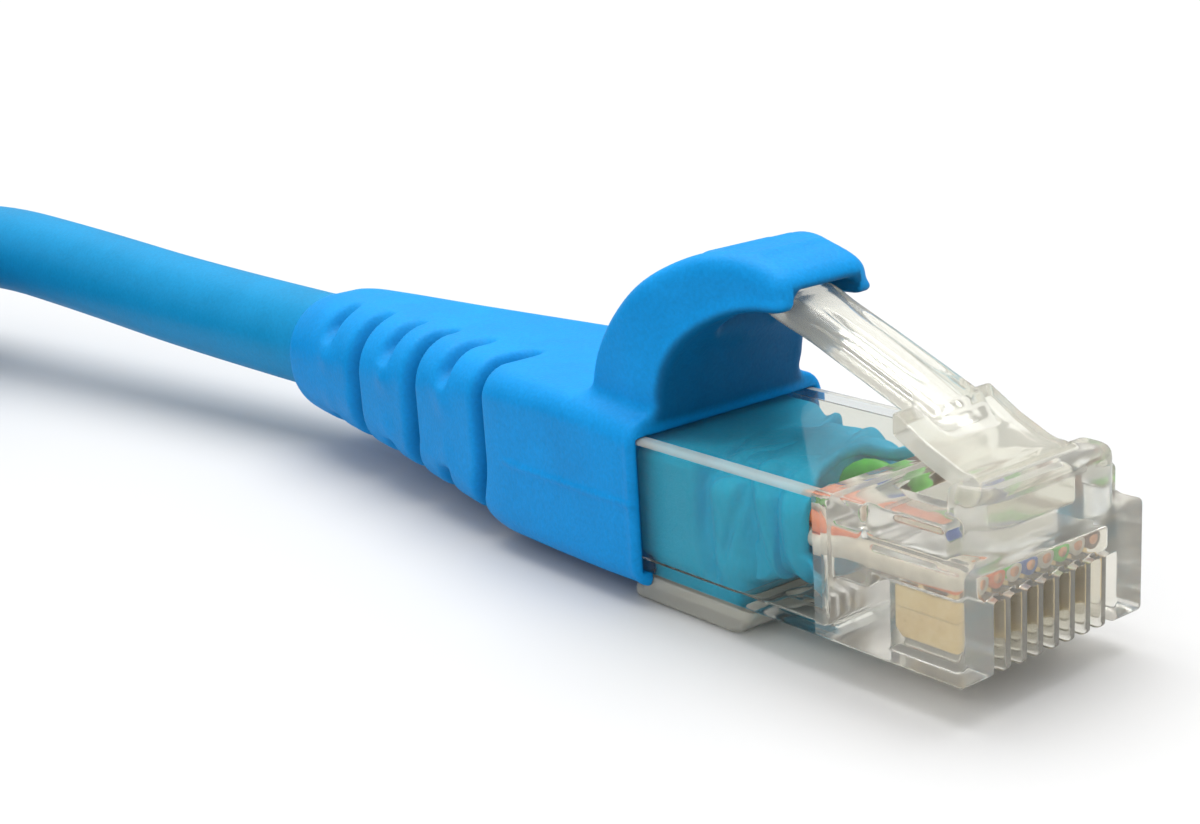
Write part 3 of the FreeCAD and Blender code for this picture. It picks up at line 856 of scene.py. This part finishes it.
def tie_mesh():
    """A strap that follows the outside of the four turns that it holds."""
    radius = CABLE_RADIUS + 0.12
    low_z = ON_FLOOR + TIE_LIFT
    high_z = low_z + CABLE_DIAMETER
    centres = [(OUTER_TURN, low_z), (OUTER_TURN, high_z), (INNER_TURN, high_z), (INNER_TURN, low_z)]
    line = []
    for (r, z), start in zip(centres, (-90, 0, 90, 180)):
        for k in range(9):
            a = math.radians(start + 90 * k / 8)
            line.append((r + radius * math.cos(a), z + radius * math.sin(a), math.cos(a), math.sin(a)))
    across = 12
    a0 = math.radians(TIE_ANGLE)
    heading = Vector((-math.sin(a0), math.cos(a0), 0))
    outwards = Vector((math.cos(a0), math.sin(a0), 0))
    centre = Vector((*COIL_CENTRE, 0))
    turn = len(line)
    count = turn + 8
    vertices, faces = [], []
    for layer_side in (0, 1):
        for i in range(count):
            r, z, nr, nz = line[i % turn]
            lap = TIE_THICKNESS * ramp(i, turn - 3, turn + 1)
            depth = 0.04 + lap + layer_side * (TIE_THICKNESS - 0.12)
            for k in range(across + 1):
                s = k / across * 2 - 1
                sag = 0.12 * (1 - s * s)
                d = depth - sag * (1 if layer_side else 0.4) - 0.12 * layer_side * (abs(s) > 0.95)
                height = Vector((0, 0, max(z + nz * d, 0.02)))
                position = centre + outwards * (r + nr * d) + height
                vertices.append((position + heading * (s * TIE_HALF_LENGTH)) * MM)
    row_length = across + 1
    sheet = count * row_length
    for i in range(count - 1):
        for k in range(across):
            a = i * row_length + k
            quad = (a, a + 1, a + 1 + row_length, a + row_length)
            faces.append(tuple(reversed(quad)))
            faces.append(tuple(q + sheet for q in quad))
        a, b = i * row_length, i * row_length + across
        faces.append((a, a + row_length, a + row_length + sheet, a + sheet))
        faces.append((b + row_length, b, b + sheet, b + row_length + sheet))
    for k in range(across):
        a, b = k, (count - 1) * row_length + k
        faces.append((a + 1, a, a + sheet, a + 1 + sheet))
        faces.append((b, b + 1, b + 1 + sheet, b + sheet))
    mesh = bpy.data.meshes.new("coil_strap")
    mesh.from_pydata(vertices, [], faces)
    mesh.shade_smooth()
    return mesh


# ---------------------------------------------------------------- both plugs

def more_materials(mesh, choices):
    """Gives further materials to the faces whose centres are chosen, in the plug's own millimetres."""
    centres = np.empty(3 * len(mesh.polygons), np.float32)
    mesh.polygons.foreach_get("center", centres)
    x, y, z = centres.reshape(-1, 3).T / MM
    index = np.zeros(len(mesh.polygons), np.int32)
    for number, (material, chosen) in enumerate(choices, 1):
        mesh.materials.append(material)
        index[chosen(x, y, z)] = number
    mesh.polygons.foreach_set("material_index", index)


def inside_clear_body(x, y, z):
    """The part of the boot that is moulded inside the clear body."""
    return (x > -LENGTH + 0.1) & (np.abs(y) < 5.2) & (z > FOOT_POCKET) & (z < 6.15)


def in_nose(x, y, z):
    return x > NOSE_START


def in_latch_root(x, y, z):
    return (x > -2.8) & (z > 5.0) & (np.abs(y) < 4.6)


def on_wall_edge(x, y, z):
    """Where the clear wall is seen through its thickness: its long top edges and the foot."""
    return (x < NOSE_START) & (((z > 6.30) & (np.abs(y) > 5.22)) | (z < -0.4))


def add_plug(prefix, origin, meshes):
    """Every visible piece of one plug."""
    made = []
    boot = piece(prefix + "boot_with_guard", meshes["boot"].copy(), boot_blue, None, origin,
                 (prefix + "boot", prefix + "latch_guard"))
    more_materials(boot.data, [(inner_blue, inside_clear_body)])
    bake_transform(boot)
    made.append(boot)
    body = piece(prefix + "clear_body", meshes["housing"].copy(), clear_wall, "cable_body",
                 origin, (prefix + "housing",))
    choices = [(clear_nose, in_nose), (clear_lever, in_latch_root), (clear_edge, on_wall_edge)]
    more_materials(body.data, choices)
    made.append(body)
    made.append(piece(prefix + "clear_latch", meshes["latch"], clear_lever, prefix + "latch_body",
                      origin, (prefix + "latch",)))
    made.append(piece(prefix + "jacket_mouth", meshes["jacket"], inner_blue, "cable_body",
                      origin, (prefix + "jacket_end",)))
    for way in range(WAYS):
        wire = piece(f"{prefix}conductor_{way + 1}", meshes["wires"][way], None, "cable_body", origin,
                     (f"{prefix}wire_{way + 1}",))
        blade_origin = (origin[0], origin[1] + way_y(way), origin[2])
        blade = piece(f"{prefix}blade_{way + 1}", meshes["contact"], gold, "cable_body",
                      blade_origin, (f"{prefix}contact_{way + 1}",))
        made += [wire, blade]
    made.append(piece(prefix + "conductor_cores", meshes["cores"], copper, "cable_body", origin,
                      (prefix + "copper_cores",)))
    return made


def cores_mesh():
    """The eight copper cores as one group, each just past the ends of its insulation."""
    group = bmesh.new()
    for way in range(WAYS):
        line = wire_line(way)
        line = [(line[0][0] - 0.03,) + line[0][1:]] + line[1:-1] + [(line[-1][0] + 0.05,) + line[-1][1:]]
        core = tube_mesh("core", line, CORE_RADIUS, 0.0, 12)
        group.from_mesh(core)
        bpy.data.meshes.remove(core)
    mesh = bpy.data.meshes.new("conductor_cores")
    group.to_mesh(mesh)
    group.free()
    mesh.shade_smooth()
    return mesh


def wire_meshes():
    made = []
    for way, (name, base, stripe) in enumerate(WIRE_COLOURS):
        mesh = tube_mesh(name, wire_line(way), WIRE_RADIUS, 5.0 + way)
        mesh.materials.append(insulation(name, base, stripe))
        made.append(mesh)
    return made


meshes = {
    "boot": boot_mesh(), "housing": housing_mesh(), "latch": latch_mesh(), "jacket": jacket_mesh(),
    "contact": contact_mesh(), "wires": wire_meshes(), "cores": cores_mesh(),
}
plugs = {prefix: add_plug(prefix, origin, meshes) for prefix, origin in PLUGS.items()}

tie = piece("coil_strap", tie_mesh(), strap, "cable_body", (0, 0, 0), ("cable_tie",))


# ---------------------------------------------------------------- floor and light

def add_floor():
    mesh = bpy.data.meshes.new("floor")
    half = 4.0
    corners = [(-half, -half, 0), (half, -half, 0), (half, half, 0), (-half, half, 0)]
    mesh.from_pydata(corners, [], [(0, 1, 2, 3)])
    mesh.materials.append(pale_floor())
    floor = bpy.data.objects.new("floor", mesh)
    bpy.context.scene.collection.objects.link(floor)


def add_light(name, place, aim, size, power):
    data = bpy.data.lights.new(name, "AREA")
    data.shape, data.size, data.energy = "DISK", size, power
    light = bpy.data.objects.new(name, data)
    bpy.context.scene.collection.objects.link(light)
    light.location = Vector(place)
    light.rotation_mode = "QUATERNION"
    light.rotation_quaternion = (Vector(aim) - Vector(place)).to_track_quat("-Z", "Y")


def add_world():
    """White all round, dim at the horizon and bright overhead."""
    world = bpy.data.worlds.new("studio")
    world.use_nodes = True
    tree = world.node_tree
    where = tree.nodes.new("ShaderNodeTexCoord")
    split = tree.nodes.new("ShaderNodeSeparateXYZ")
    link(tree, where, "Generated", split, "Vector")
    level = spread(tree, split, "Z", 0.0, 1.0, 0.25, 1.15)
    link(tree, level, "Result", tree.nodes["Background"], "Strength")
    tree.nodes["Background"].inputs["Color"].default_value = (1.0, 1.0, 1.0, 1)
    bpy.context.scene.world = world


add_floor()
add_world()
add_light("overhead", (-0.6, 0.5, 3.0), (0, 0, 0), 3.4, 98.0)
add_light("side", (0.35, -0.45, 0.30), (0, 0, 0), 0.35, 0.3)
bpy.context.scene.view_settings.view_transform = "Standard"
